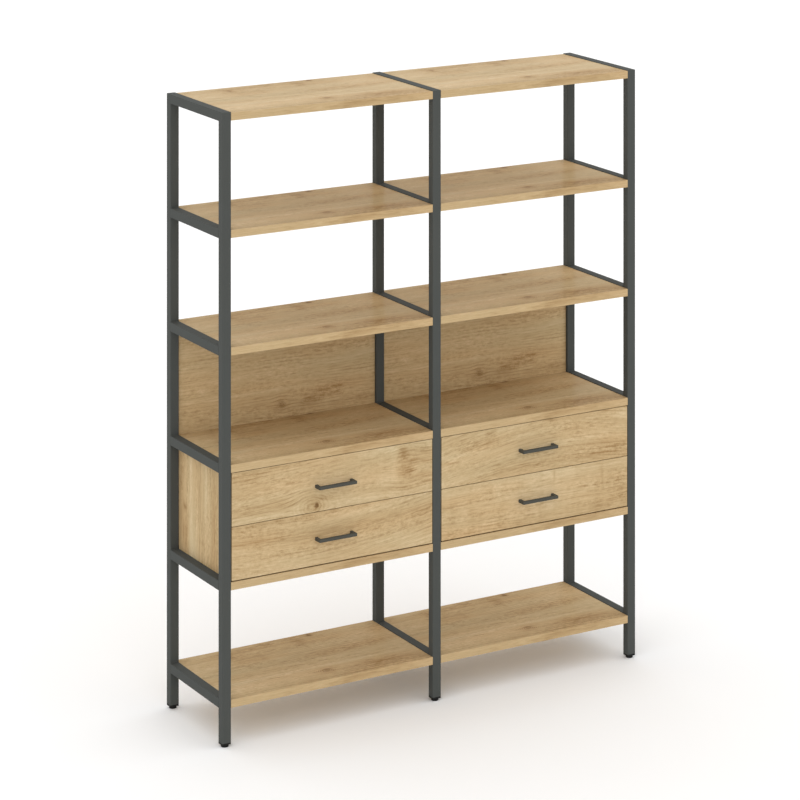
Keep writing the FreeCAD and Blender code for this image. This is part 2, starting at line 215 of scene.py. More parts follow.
SHELF_FIGURE = Figure(0.0, 0.0, 0.0, (
    Mark(0.485, 0.384, 0.016, 0.018, 1.2, heart=0.7, bend=0.5),
    Mark(0.165, 0.340, 0.018, 0.028, 1.3, heart=0.25, bend=0.4),
    Mark(0.430, 0.345, 0.030, 0.040, 0.9),
    Mark(0.385, 0.072, 0.034, 0.024, 1.5, heart=0.35, bend=0.6),
    Mark(0.590, 0.058, 0.100, 0.030, 1.4),
    Mark(0.250, 0.112, 0.300, 0.010, -1.6),
    Mark(0.640, 0.330, 0.070, 0.055, -1.1),
    Mark(0.205, 0.265, 0.120, 0.035, 0.9),
    Mark(0.520, 0.200, 0.180, 0.040, 0.7),
    Mark(0.060, 0.070, 0.120, 0.060, -1.0),
    Mark(0.060, 0.320, 0.070, 0.060, -0.8),
))
BACK_FIGURE = Figure(0.0, 0.0, 0.0, (
    Mark(0.485, 0.330, 0.016, 0.018, 0.7, heart=0.5, bend=0.5),
    Mark(0.165, 0.300, 0.018, 0.028, 0.7, heart=0.20, bend=0.4),
    Mark(0.385, 0.045, 0.026, 0.022, 0.9, heart=0.40, bend=0.6),
    Mark(0.500, 0.047, 0.040, 0.014, 1.0, bend=0.3),
    Mark(0.555, 0.066, 0.045, 0.014, 1.0, bend=0.3),
    Mark(0.605, 0.082, 0.040, 0.012, 0.7),
    Mark(0.570, 0.034, 0.045, 0.014, -0.7),
    Mark(0.250, 0.095, 0.300, 0.008, -0.9),
    Mark(0.205, 0.230, 0.110, 0.030, 0.4),
))
DRAWER_BAY_BACK_FIGURE = Figure(0.0, 0.0, 0.0, (
    Mark(0.210, 0.110, 0.018, 0.020, 0.9, heart=0.45, bend=0.6),
    Mark(0.600, 0.250, 0.030, 0.024, 0.8, heart=0.25, bend=0.5),
    Mark(0.420, 0.180, 0.200, 0.010, -0.9),
    Mark(0.300, 0.290, 0.120, 0.030, 0.5),
), shift=(4.1, 0.9, 0.0))
SIDE_FIGURE = Figure(0.0, 0.0, 0.0, (
    Mark(0.152, 0.307, 0.012, 0.012, 1.4, heart=0.30, bend=0.3),
    Mark(0.072, 0.305, 0.060, 0.024, 1.0),
    Mark(0.118, 0.062, 0.018, 0.007, 1.3, heart=0.15),
    Mark(0.216, 0.059, 0.008, 0.010, 1.2, heart=0.10),
    Mark(0.170, 0.266, 0.500, 0.010, -1.2),
    Mark(0.090, 0.054, 0.040, 0.006, -1.2),
    Mark(0.220, 0.155, 0.110, 0.006, -0.9),
    Mark(0.200, 0.100, 0.150, 0.020, 0.5),
    Mark(0.200, 0.205, 0.200, 0.022, 0.6),
), shift=(1.3, 0.7, 0.0))
FRONT_FIGURES = {
    "left_upper_drawer": Figure(0.02, 0.0, 0.1, (
        Mark(0.304, 0.021, 0.012, 0.017, 0.9, heart=0.8),
        Mark(0.300, 0.026, 0.026, 0.022, 0.9),
        Mark(0.350, 0.040, 0.032, 0.010, 0.7, bend=0.4),
        Mark(0.288, 0.018, 0.066, 0.044, 0.45, bend=0.98),
        Mark(0.240, 0.026, 0.018, 0.018, -0.5),
        Mark(0.626, 0.138, 0.017, 0.032, 1.4, heart=0.08),
        Mark(0.642, 0.078, 0.032, 0.020, 1.6, heart=0.10),
        Mark(0.690, 0.142, 0.050, 0.022, 0.5),
        Mark(0.632, 0.105, 0.050, 0.070, 0.30, bend=0.35),
        Mark(0.668, 0.111, 0.024, 0.004, 1.3),
        Mark(0.712, 0.103, 0.032, 0.004, 1.3),
        Mark(0.690, 0.068, 0.034, 0.007, 0.9),
        Mark(0.720, 0.061, 0.030, 0.006, 0.7),
        Mark(0.692, 0.090, 0.026, 0.008, -0.7),
        Mark(0.588, 0.136, 0.020, 0.034, -0.8),
        Mark(0.570, 0.072, 0.034, 0.030, -0.7),
        Mark(0.460, 0.018, 0.110, 0.014, -0.5),
        Mark(0.050, 0.145, 0.080, 0.030, 0.6),
        Mark(0.150, 0.094, 0.240, 0.014, -0.6),
        Mark(0.100, 0.042, 0.150, 0.010, 0.6),
        Mark(0.120, 0.015, 0.180, 0.010, -0.6),
    ), shift=(3.7, 0.37, 0.0)),
    "left_lower_drawer": Figure(-0.10, 0.20, 0.0, (
        Mark(0.275, 0.157, 0.036, 0.012, 0.8, bend=0.5),
        Mark(0.130, 0.109, 0.200, 0.004, 0.7),
        Mark(0.420, 0.104, 0.090, 0.008, 0.2),
        Mark(0.150, 0.135, 0.250, 0.012, -0.5),
        Mark(0.650, 0.026, 0.150, 0.030, -1.1),
        Mark(0.660, 0.115, 0.100, 0.026, 0.4),
        Mark(0.470, 0.150, 0.120, 0.014, -0.7),
    ), shift=(2.0, 0.0, 0.0)),
    "right_upper_drawer": Figure(0.20, -0.20, 0.0, (
        Mark(0.190, 0.154, 0.022, 0.010, 0.9, heart=0.15, bend=0.6),
        Mark(0.432, 0.164, 0.032, 0.005, 1.0, heart=0.2),
        Mark(0.028, 0.079, 0.030, 0.003, 1.7),
        Mark(0.655, 0.142, 0.009, 0.007, 0.8),
        Mark(0.140, 0.126, 0.110, 0.034, 1.5),
        Mark(0.150, 0.040, 0.180, 0.030, 0.6),
        Mark(0.370, 0.070, 0.300, 0.060, 0.1),
        Mark(0.715, 0.146, 0.045, 0.020, -1.1),
        Mark(0.600, 0.092, 0.110, 0.012, -0.8),
        Mark(0.665, 0.044, 0.070, 0.007, 0.7),
        Mark(0.620, 0.024, 0.060, 0.006, 0.8),
        Mark(0.120, 0.098, 0.140, 0.007, -0.9),
        Mark(0.215, 0.036, 0.020, 0.012, 0.8),
    ), shift=(7.1, 1.11, 0.0)),
    "right_lower_drawer": Figure(0.0, 0.0, 0.3, (
        Mark(0.440, 0.152, 0.005, 0.020, 1.0, heart=0.15),
        Mark(0.695, 0.100, 0.060, 0.070, 0.80),
        Mark(0.632, 0.130, 0.006, 0.040, 0.6),
        Mark(0.696, 0.100, 0.011, 0.008, 0.9, heart=0.2),
        Mark(0.560, 0.094, 0.009, 0.008, 0.8, heart=0.15),
        Mark(0.620, 0.086, 0.012, 0.014, 0.6),
        Mark(0.370, 0.016, 0.450, 0.012, 0.35),
        Mark(0.625, 0.012, 0.060, 0.012, 0.6),
        Mark(0.222, 0.130, 0.014, 0.030, -0.9),
        Mark(0.620, 0.152, 0.130, 0.020, 0.8),
        Mark(0.400, 0.100, 0.110, 0.060, -0.9),
        Mark(0.370, 0.080, 0.400, 0.090, -0.85),
    ), shift=(5.4, 0.74, 0.0)),
}


class BookcaseOak(bpy.types.PropertyGroup):
    """Colours of the oak-finish boards."""

    pale: FloatVectorProperty(
        name="Pale wood", description="Lightest streaks of the oak", subtype="COLOR_GAMMA",
        size=3, min=0.0, max=1.0, default=(0.832, 0.735, 0.582))
    middle: FloatVectorProperty(
        name="Wood", description="Middle tone of the oak", subtype="COLOR_GAMMA",
        size=3, min=0.0, max=1.0, default=(0.752, 0.650, 0.490))
    brown: FloatVectorProperty(
        name="Brown wood", description="Darkest streaks of the oak", subtype="COLOR_GAMMA",
        size=3, min=0.0, max=1.0, default=(0.600, 0.486, 0.333))
    knot: FloatVectorProperty(
        name="Knot", description="Heart of a knot", subtype="COLOR_GAMMA",
        size=3, min=0.0, max=1.0, default=(0.400, 0.280, 0.165))


class BookcaseSteel(bpy.types.PropertyGroup):
    """Colours of the steel and plastic pieces."""

    coat: FloatVectorProperty(
        name="Frame coat", description="Powder coat of the frames", subtype="COLOR_GAMMA",
        size=3, min=0.0, max=1.0, default=(0.311, 0.320, 0.310))
    handle: FloatVectorProperty(
        name="Handle coat", description="Powder coat of the handles", subtype="COLOR_GAMMA",
        size=3, min=0.0, max=1.0, default=(0.309, 0.307, 0.283))
    plastic: FloatVectorProperty(
        name="Black plastic", description="End caps and levelling feet", subtype="COLOR_GAMMA",
        size=3, min=0.0, max=1.0, default=(0.115, 0.115, 0.110))
    zinc: FloatVectorProperty(
        name="Zinc", description="Plated runners and screws", subtype="COLOR_GAMMA",
        size=3, min=0.0, max=1.0, default=(0.760, 0.770, 0.780))
    box: FloatVectorProperty(
        name="Drawer box", description="Melamine face of the drawer boxes", subtype="COLOR_GAMMA",
        size=3, min=0.0, max=1.0, default=(0.860, 0.855, 0.835))
    bottom: FloatVectorProperty(
        name="Drawer bottom", description="Hardboard of the drawer bottoms", subtype="COLOR_GAMMA",
        size=3, min=0.0, max=1.0, default=(0.820, 0.810, 0.780))


class BookcaseStudio(bpy.types.PropertyGroup):
    """Camera, floor and light."""

    camera_place: FloatVectorProperty(
        name="Camera place", description="Where the camera stands", subtype="TRANSLATION",
        unit="LENGTH", size=3, default=(-5.1880, -8.8452, 3.8070))
    camera_azimuth: FloatProperty(
        name="Camera azimuth", description="Turn of the level view from the Y axis", subtype="ANGLE",
        unit="ROTATION", default=math.radians(-30.2368))
    focal_pixels: FloatProperty(
        name="Focal length in pixels", description="Distance of the upright picture plane", default=3084.2)
    horizon_row: FloatProperty(
        name="Horizon row", description="Picture row of the horizon, from the top", default=-461.93)
    picture_size: FloatProperty(
        name="Picture size", description="Width and height of the picture in pixels", default=800.0)
    floor_radius: FloatProperty(
        name="Floor radius", description="Reach of the studio floor", unit="LENGTH", default=60.0)
    floor: FloatVectorProperty(
        name="Floor", description="Colour of the floor as the lens sees it", subtype="COLOR",
        size=3, min=0.0, max=1.0, default=(0.980, 0.975, 0.970))
    floor_bounce: FloatVectorProperty(
        name="Floor bounce", description="Colour that the floor throws back onto the bookcase",
        subtype="COLOR", size=3, min=0.0, max=1.0, default=(0.88, 0.88, 0.88))
    sky_strength: FloatProperty(
        name="Sky strength", description="Level of the soft light from overhead", default=1.21)
    horizon_share: FloatProperty(
        name="Horizon share", description="Level of the sky at the horizon, as a share of the sky overhead",
        subtype="FACTOR", min=0.0, max=1.0, default=0.72)
    fill_strength: FloatProperty(
        name="Fill strength", description="Level of the soft light from beside the camera", default=0.53)
    fill_elevation: FloatProperty(
        name="Fill elevation", description="Height of the soft light over the horizon", subtype="ANGLE",
        unit="ROTATION", default=math.radians(12.0))
    fill_spread: FloatProperty(
        name="Fill spread", description="Angle across the soft light", subtype="ANGLE",
        unit="ROTATION", default=math.radians(60.0))


def linear(colour):
    """A colour as the shaders take it."""
    return (*Color(colour).from_srgb_to_scene_linear(), 1.0)


def fill_inputs(tree, made, values):
    """Fill the inputs of a node, each from a socket to link or with a plain value."""
    for key, value in values.items():
        if isinstance(value, bpy.types.NodeSocket):
            tree.links.new(value, made.inputs[key])
        else:
            made.inputs[key].default_value = value


def place(tree, kind, values=None, **settings):
    """Add a shader node with its settings and the values of its inputs."""
    made = tree.nodes.new("ShaderNode" + kind)
    for name, value in settings.items():
        setattr(made, name, value)
    fill_inputs(tree, made, values or {})
    return made


def calc(tree, operation, *values):
    """The result of a Math node."""
    return place(tree, "Math", dict(enumerate(values)), operation=operation).outputs[0]


def vector_calc(tree, operation, *values):
    """The result of a Vector Math node."""
    return place(tree, "VectorMath", dict(enumerate(values)), operation=operation).outputs[0]


def blend(tree, factor, first, second, kind="MIX"):
    """A colour mixed from two colours."""
    values = {0: factor, 6: first, 7: second}
    return place(tree, "Mix", values, data_type="RGBA", blend_type=kind).outputs[2]


def noise(tree, vector, scale, detail=2.0, roughness=0.5):
    """Noise from 0 to 1, with its own number of cells per metre along each axis."""
    stretched = vector_calc(tree, "MULTIPLY", vector, scale)
    values = {"Vector": stretched, "Scale": 1.0, "Detail": detail, "Roughness": roughness}
    return place(tree, "TexNoise", values).outputs[0]


def remap(tree, value, low, high, out_low, out_high):
    """A value moved from one range to another, and held inside it."""
    values = {0: value, 1: low, 2: high, 3: out_low, 4: out_high}
    return place(tree, "MapRange", values).outputs[0]


def layered(tree, vector, layer):
    """Noise of a layer, which swings about zero."""
    cells = (layer.along, layer.across, layer.across)
    swing = calc(tree, "SUBTRACT", noise(tree, vector, cells, layer.detail, layer.roughness), 0.5)
    return calc(tree, "MULTIPLY", swing, layer.weight)


def scattered(tree, vector, scatter):
    """Noise of a scatter, held between what it gives at its two cuts."""
    cells = (scatter.along, scatter.across, scatter.across)
    value = noise(tree, vector, cells, scatter.detail)
    return remap(tree, value, scatter.low, scatter.high, scatter.at_low, scatter.at_high)


def node_group(name, inputs, outputs):
    """An empty shader node group, with its input and output nodes."""
    group = bpy.data.node_groups.new(name, "ShaderNodeTree")
    for direction, sockets in (("INPUT", inputs), ("OUTPUT", outputs)):
        for socket_name, kind in sockets:
            group.interface.new_socket(socket_name, in_out=direction, socket_type="NodeSocket" + kind)
    return group, group.nodes.new("NodeGroupInput"), group.nodes.new("NodeGroupOutput")


def shared_group(name, build):
    """A node group that is built the first time it is asked for."""
    return bpy.data.node_groups.get(name) or build(name)


def place_group(tree, group, values):
    """A node group in a material, with the values of its inputs."""
    made = tree.nodes.new("ShaderNodeGroup")
    made.node_tree = group
    fill_inputs(tree, made, values)
    return made


def mark_group(name):
    """One mark of the figure: grain that parts around it, a tint with rings, and the stain of a heart."""
    group, given, result = node_group(
        name,
        (("Board", "Vector"), ("Ragged", "Float"), ("Place", "Vector"), ("Length", "Float"),
         ("Width", "Float"), ("Tint", "Float"), ("Heart", "Float"), ("Bend", "Float"),
         ("Stain", "Float"), ("Flame", "Float")),
        (("Board", "Vector"), ("Stain", "Float"), ("Flame", "Float")),
    )
    board, ragged, bend = (given.outputs[key] for key in ("Board", "Ragged", "Bend"))
    from_place = vector_calc(group, "SUBTRACT", board, given.outputs["Place"])
    split = place(group, "SeparateXYZ", {0: from_place})
    along = calc(group, "DIVIDE", split.outputs[0], given.outputs["Length"])
    across = calc(group, "DIVIDE", split.outputs[1], given.outputs["Width"])
    along_squared = calc(group, "MULTIPLY", along, along)
    square = calc(group, "ADD", along_squared, calc(group, "MULTIPLY", across, across))

    def torn(tear):
        """Squared distance from the middle, with a ragged edge."""
        return calc(group, "MAXIMUM", calc(group, "MULTIPLY_ADD", ragged, tear, square), 0.0)

    # Grain that parts around the mark
    parted = calc(group, "EXPONENT", calc(group, "MULTIPLY", square, MARK_PARTING))
    parted = calc(group, "MULTIPLY", parted, bend)
    push = calc(group, "MULTIPLY", calc(group, "MULTIPLY", split.outputs[1], parted), -1.0)
    bent = vector_calc(group, "ADD", board, place(group, "CombineXYZ", {1: push}).outputs[0])

    # Tint with rings, and the heart
    edge = torn(MARK_TEAR)
    near = calc(group, "EXPONENT", calc(group, "MULTIPLY", edge, -1.0))
    turn = calc(group, "MULTIPLY", calc(group, "SQRT", torn(MARK_RING_TEAR)), MARK_RING_TURN)
    ring = calc(group, "MULTIPLY", calc(group, "SINE", turn), bend)
    ringed = calc(group, "MULTIPLY_ADD", ring, MARK_RING_DEPTH, 1.0)
    flame = calc(group, "MULTIPLY", calc(group, "MULTIPLY", near, given.outputs["Tint"]), ringed)
    heart = remap(group, edge, *HEART_EDGES, HEART_STAIN, 0.0)
    stain = calc(group, "MULTIPLY", heart, given.outputs["Heart"])
    group.links.new(bent, result.inputs["Board"])
    group.links.new(calc(group, "ADD", stain, given.outputs["Stain"]), result.inputs["Stain"])
    group.links.new(calc(group, "ADD", flame, given.outputs["Flame"]), result.inputs["Flame"])
    return group


def oak_group(name):
    """Oak figure on a board whose grain runs along the first axis."""
    group, given, result = node_group(
        name,
        (("Board", "Vector"), ("Shift", "Vector"), ("Stain", "Float"), ("Flame", "Float"),
         ("Calm", "Float"), ("Slant", "Float"), ("Arch", "Float"), ("Cross", "Float"),
         ("Pale", "Color"), ("Wood", "Color"), ("Brown", "Color"), ("Knot", "Color")),
        (("Color", "Color"), ("Roughness", "Float"), ("Height", "Float")),
    )
    board, flame, calm = (given.outputs[key] for key in ("Board", "Flame", "Calm"))
    pale, wood, brown, knot = (given.outputs[key] for key in ("Pale", "Wood", "Brown", "Knot"))

    # Lay of the grain
    run = place(group, "SeparateXYZ", {0: board}).outputs[0]
    slope = calc(group, "MULTIPLY_ADD", run, given.outputs["Arch"], given.outputs["Slant"])
    climb = calc(group, "MULTIPLY", run, slope)
    moved = vector_calc(group, "ADD", board, given.outputs["Shift"])
    aside = calc(group, "SUBTRACT", layered(group, moved, WANDER), climb)
    lay = vector_calc(group, "ADD", moved, place(group, "CombineXYZ", {1: aside}).outputs[0])

    # Lines, with growth rings among them
    fibres = layered(group, lay, FIBRES)
    patches = scattered(group, lay, PATCHES)
    lines = calc(group, "ADD", layered(group, lay, LONG_LINES), fibres)
    lines = calc(group, "ADD", lines, calc(group, "MULTIPLY", layered(group, lay, SHORT_LINES), patches))
    across = place(group, "SeparateXYZ", {0: lay}).outputs[1]
    turn = calc(group, "MULTIPLY_ADD", across, RING_TURN, layered(group, lay, RING_SWAY))
    rings = remap(group, calc(group, "SINE", turn), 0.0, 1.0, RING_TROUGH, 1.0)
    rings = calc(group, "MULTIPLY", rings, scattered(group, lay, RING_PATCHES))
    lines = calc(group, "ADD", lines, rings)
    by_marks = calc(group, "MULTIPLY_ADD", calc(group, "ABSOLUTE", flame), FLAME_LINES, 1.0)
    lines = calc(group, "MULTIPLY", lines, by_marks)

    # Tone, calmer on the edge bands
    crossing = calc(group, "MULTIPLY", layered(group, lay, CROSSING), given.outputs["Cross"])
    on_face = calc(group, "SUBTRACT", 1.0, calm)
    mottle = calc(group, "MULTIPLY", layered(group, lay, MOTTLE), on_face)
    mottle = calc(group, "MULTIPLY", mottle, patches)
    broad = layered(group, lay, BROAD)
    tone = calc(group, "MULTIPLY_ADD", flame, FLAME_TONE, broad)
    for part in (layered(group, lay, BANDS), layered(group, lay, STREAKS), mottle, lines, crossing):
        tone = calc(group, "ADD", tone, part)
    lively = calc(group, "MULTIPLY_ADD", calm, EDGE_CALM, 1.0)
    tone = calc(group, "MULTIPLY_ADD", tone, lively, MEAN_TONE)

    # Colour, with its hue, its dashes and pores, and the hearts of knots
    colour = blend(group, remap(group, tone, BROWN_TONE, WOOD_TONE, 0.0, 1.0), brown, wood)
    colour = blend(group, remap(group, tone, WOOD_TONE, PALE_TONE, 0.0, 1.0), colour, pale)
    warmth = calc(group, "MULTIPLY_ADD", broad, BROAD_WARMTH, 0.5)
    warmth = calc(group, "MULTIPLY_ADD", flame, FLAME_WARMTH, warmth)
    warmth = calc(group, "ADD", warmth, layered(group, lay, WARM_STREAKS))
    colour = blend(group, 1.0, colour, blend(group, warmth, COOL_HUE, WARM_HUE), kind="MULTIPLY")
    dashes = calc(group, "MULTIPLY", scattered(group, lay, DASHES), lively)
    pores = scattered(group, lay, PORES)
    colour = blend(group, dashes, colour, brown)
    colour = blend(group, pores, colour, brown)
    colour = blend(group, calc(group, "MINIMUM", given.outputs["Stain"], MOST_STAIN), colour, knot)
    height = calc(group, "SUBTRACT", fibres, calc(group, "ADD", dashes, pores))
    group.links.new(colour, result.inputs["Color"])
    group.links.new(remap(group, tone, *GLOSS_TONES, *OAK_ROUGHNESS), result.inputs["Roughness"])
    group.links.new(height, result.inputs["Height"])
    return group


def speckle_group(name):
    """Fine uneven surface of a coat, a moulding or a rolled sheet: a tone, a roughness and a height."""
    group, given, result = node_group(
        name,
        (("Vector", "Vector"), ("Stretch", "Vector"), ("Tone", "Float"), ("Roughness", "Float"),
         ("Roughness Spread", "Float")),
        (("Tone", "Float"), ("Roughness", "Float"), ("Height", "Float")),
    )
    lay = vector_calc(group, "MULTIPLY", given.outputs["Vector"], given.outputs["Stretch"])
    fine = noise(group, lay, (1.0, 1.0, 1.0), 2.0)
    broad = noise(group, lay, (SPECKLE_BROAD,) * 3, 3.0)
    mixed = calc(group, "ADD", calc(group, "MULTIPLY", fine, 0.5), calc(group, "MULTIPLY", broad, 0.5))
    tone = calc(group, "MULTIPLY", mixed, given.outputs["Tone"])
    swing = calc(group, "SUBTRACT", broad, 0.5)
    spread = calc(group, "MULTIPLY", swing, given.outputs["Roughness Spread"])
    group.links.new(tone, result.inputs["Tone"])
    group.links.new(calc(group, "ADD", given.outputs["Roughness"], spread), result.inputs["Roughness"])
    group.links.new(fine, result.inputs["Height"])
    return group


def new_material(name):
    """An empty node material, its tree and its Principled shader."""
    material = bpy.data.materials.new(name)
    material.use_nodes = True
    tree = material.node_tree
    tree.nodes.clear()
    shader = place(tree, "BsdfPrincipled")
    output = place(tree, "OutputMaterial")
    tree.links.new(shader.outputs[0], output.inputs["Surface"])
    return material, tree, shader


def bump(tree, shader, height, strength, distance):
    """Feed a height to a shader's normal."""
    values = {"Height": height, "Strength": strength, "Distance": distance}
    tree.links.new(place(tree, "Bump", values).outputs[0], shader.inputs["Normal"])


def oak_material(node, axes, figure):
    """Oak for one board. Axes gives the frame's axis along the grain, across it and through the board."""
    oak = bpy.context.scene.bookcase_oak
    material, tree, shader = new_material("oak_" + node)
    low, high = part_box(node)
    half = (high[axes[1]] - low[axes[1]]) / 2
    coordinates = place(tree, "TexCoord").outputs["Object"]
    split = place(tree, "SeparateXYZ", {0: vector_calc(tree, "SUBTRACT", coordinates, tuple(low))})
    board = place(tree, "CombineXYZ", {at: split.outputs[axis] for at, axis in enumerate(axes)}).outputs[0]
    ragged = layered(tree, board, RAGGED)
    from_middle = calc(tree, "ABSOLUTE", calc(tree, "SUBTRACT", split.outputs[axes[1]], half))
    banded = calc(tree, "GREATER_THAN", from_middle, half - EDGE_BAND)
    stain, flame = 0.0, 0.0
    for mark in figure.marks:
        values = {"Board": board, "Ragged": ragged, "Stain": stain, "Flame": flame}
        values.update(Place=(mark.along, mark.across, 0.0), Length=mark.length, Width=mark.width)
        values.update(Tint=mark.tint, Heart=mark.heart, Bend=mark.bend)
        made = place_group(tree, shared_group("oak_mark", mark_group), values)
        board, stain, flame = (made.outputs[name] for name in ("Board", "Stain", "Flame"))
    values = {"Board": board, "Shift": figure.shift, "Stain": stain, "Flame": flame, "Calm": banded}
    values.update(Slant=figure.slant, Arch=figure.arch, Cross=figure.cross)
    values.update(Pale=linear(oak.pale), Wood=linear(oak.middle))
    values.update(Brown=linear(oak.brown), Knot=linear(oak.knot))
    made = place_group(tree, shared_group("oak_figure", oak_group), values)
    tree.links.new(made.outputs["Color"], shader.inputs["Base Color"])
    tree.links.new(made.outputs["Roughness"], shader.inputs["Roughness"])
    shader.inputs["Specular IOR Level"].default_value = OAK_SPECULAR
    bump(tree, shader, made.outputs["Height"], OAK_BUMP, OAK_RELIEF)
    return material


def speckled_material(name, colour, finish):
    """A coat, a plastic, a plate or a plain board: one colour with fine uneven tone, gloss and surface."""
    material, tree, shader = new_material(name)
    coordinates = place(tree, "TexCoord").outputs["Object"]
    values = {"Vector": coordinates, "Stretch": finish.cells, "Tone": finish.tone}
    values.update({"Roughness": finish.roughness, "Roughness Spread": finish.spread})
    speckle = place_group(tree, shared_group("speckle", speckle_group), values)
    base = linear(colour)
    dark = (*(SPECKLE_DARK * channel for channel in base[:3]), 1.0)
    mixed = blend(tree, speckle.outputs["Tone"], base, dark)
    tree.links.new(mixed, shader.inputs["Base Color"])
    tree.links.new(speckle.outputs["Roughness"], shader.inputs["Roughness"])
    shader.inputs["Metallic"].default_value = finish.metallic
    shader.inputs["Specular IOR Level"].default_value = finish.specular
    bump(tree, shader, speckle.outputs["Height"], SPECKLE_BUMP, finish.height)
    return material


def shared_material(name, colour, finish):
    """A speckled material that is built the first time it is asked for."""
    return bpy.data.materials.get(name) or speckled_material(name, colour, finish)


def coat_material():
    """Powder coat of the frames, their welds and the bearer tabs."""
    return shared_material("grey_powder_coat", bpy.context.scene.bookcase_steel.coat, FRAME_COAT)


def handle_material():
    """Powder coat of the handles."""
    return shared_material("handle_powder_coat", bpy.context.scene.bookcase_steel.handle, HANDLE_COAT)


def plastic_material():
    """Black plastic of the end caps and the levelling feet."""
    return shared_material("black_plastic", bpy.context.scene.bookcase_steel.plastic, MOULDED_PLASTIC)


def zinc_material():
    """Zinc plate of the runners and screws."""
    return shared_material("zinc_plate", bpy.context.scene.bookcase_steel.zinc, PLATED_STEEL)


def box_material():
    """White face of the drawer boxes."""
    return shared_material("drawer_melamine", bpy.context.scene.bookcase_steel.box, MELAMINE)


def bottom_material():
    """White face of the drawer bottoms."""
    return shared_material("drawer_hardboard", bpy.context.scene.bookcase_steel.bottom, HARDBOARD)


def dowel_material():
    """Beech of the panel dowels."""
    return shared_material("dowel_beech", bpy.context.scene.bookcase_oak.pale, BEECH)


def dress(node, material):
    """Give a CAD node its finish."""
    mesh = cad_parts[node].data
    mesh.materials.clear()
    mesh.materials.append(material)


def soften(node, width, segments=2):
    """Ease the sharp edges of a CAD node."""
    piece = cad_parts[node]
    weld = piece.modifiers.new("joined", "WELD")
    weld.merge_threshold = JOINED_POINTS
    bevel = piece.modifiers.new("eased_edges", "BEVEL")
    bevel.width = width
    bevel.segments = segments
    bevel.limit_method = "ANGLE"
    bevel.angle_limit = EASED_ANGLE
    bevel.use_clamp_overlap = False
    bevel.harden_normals = True


def add_piece(name, shape, material, body):
    """Turn a bmesh into a smooth piece that rides on a body."""
    bmesh.ops.recalc_face_normals(shape, faces=shape.faces)
    mesh = bpy.data.meshes.new(name)
    shape.to_mesh(mesh)
    shape.free()
    mesh.materials.append(material)
    mesh.shade_smooth()
    piece = bpy.data.objects.new(name, mesh)
    bpy.context.scene.collection.objects.link(piece)
    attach(piece, body)


def skin(shape, rings):
    """Close faces over rings of points, with both ends capped."""
    loops = [[shape.verts.new(point) for point in ring] for ring in rings]
    count = len(loops[0])
    for near, far in zip(loops, loops[1:]):
        for at in range(count):
            after = (at + 1) % count
            shape.faces.new((near[at], near[after], far[after], far[at]))
    shape.faces.new(loops[0])
    shape.faces.new(reversed(loops[-1]))


def weld_bead(shape, centre_x, corner_y, corner_z, out_y, out_z):
    """A rippled fillet weld along X, in the corner between a post and a rail."""
    stations = 4 * WELD_RIPPLES
    arc_steps = 6
    rings = []
    for station in range(stations + 1):
        share = station / stations
        swell = abs(math.sin(math.pi * WELD_RIPPLES * share))
        ripple = 1.0 - WELD_RIPPLE_DEPTH + WELD_RIPPLE_DEPTH * swell
        from_end = min(share, 1.0 - share)
        leg = WELD_LEG * ripple * min(1.0, WELD_END_LEG + WELD_GROWTH * from_end)
        x = centre_x + WELD_LENGTH * (share - 0.5)
        ring = [(x, corner_y - out_y * WELD_SINK, corner_z - out_z * WELD_SINK)]
        for step in range(arc_steps + 1):
            angle = math.pi / 2 * step / arc_steps
            reach_y = (leg + WELD_SINK) * math.cos(angle) - WELD_SINK
            reach_z = (leg + WELD_SINK) * math.sin(angle) - WELD_SINK
            ring.append((x, corner_y + out_y * reach_y, corner_z + out_z * reach_z))
        rings.append(ring)
    skin(shape, rings)


def screw_head(shape, centre, out_x):
    """A domed screw head with a cross recess, facing along X."""
    spokes, hoops = 32, 10
    rings = []
    for hoop in range(hoops + 1):
        radius = HEAD_RADIUS * (1.0 - HEAD_REACH * hoop / hoops)
        ring = []
        for spoke in range(spokes):
            angle = 2 * math.pi * spoke / spokes
            y, z = radius * math.cos(angle), radius * math.sin(angle)
            slot = math.exp(-((min(abs(y), abs(z)) / RECESS_SLOT) ** 2))
            inside = min(1.0, max(0.0, RECESS_STEEPNESS * (1.0 - radius / RECESS_RADIUS)))
            dome = HEAD_HEIGHT * (1.0 - (radius / HEAD_RADIUS) ** HEAD_DOME)
            height = dome - RECESS_DEPTH * slot * inside
            ring.append((centre[0] + out_x * height, centre[1] + y, centre[2] + z))
        rings.append(ring)
    skin(shape, rings)


class BOOKCASE_OT_frames(bpy.types.Operator):
    """Coat the three steel frames and the bearer tabs"""

    bl_idname = "bookcase.frames"
    bl_label = "Steel Frames"

    def execute(self, context):
        for node in (*FRAMES, "shelf_bearers"):
            dress(node, coat_material())
        return {"FINISHED"}


class BOOKCASE_OT_welds(bpy.types.Operator):
    """Weld the rails to the posts"""

    bl_idname = "bookcase.welds"
    bl_label = "Weld Beads"

    def execute(self, context):
        for node in FRAMES:
            low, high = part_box(node)
            centre_x = (low[0] + high[0]) / 2
            shape = bmesh.new()
            for level in range(1, SHELF_LEVELS + 1):
                rail_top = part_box(f"left_shelf_{level}")[1][2] + RAIL_RISE
                corners = [(rail_top - RAIL_HEIGHT, -1)]
                if level < SHELF_LEVELS:
                    corners.append((rail_top, 1))
                for corner_z, out_z in corners:
                    weld_bead(shape, centre_x, low[1] + POST_DEPTH, corner_z, 1, out_z)
                    weld_bead(shape, centre_x, high[1] - POST_DEPTH, corner_z, -1, out_z)
            add_piece(node + "_welds", shape, coat_material(), "carcass")
        return {"FINISHED"}


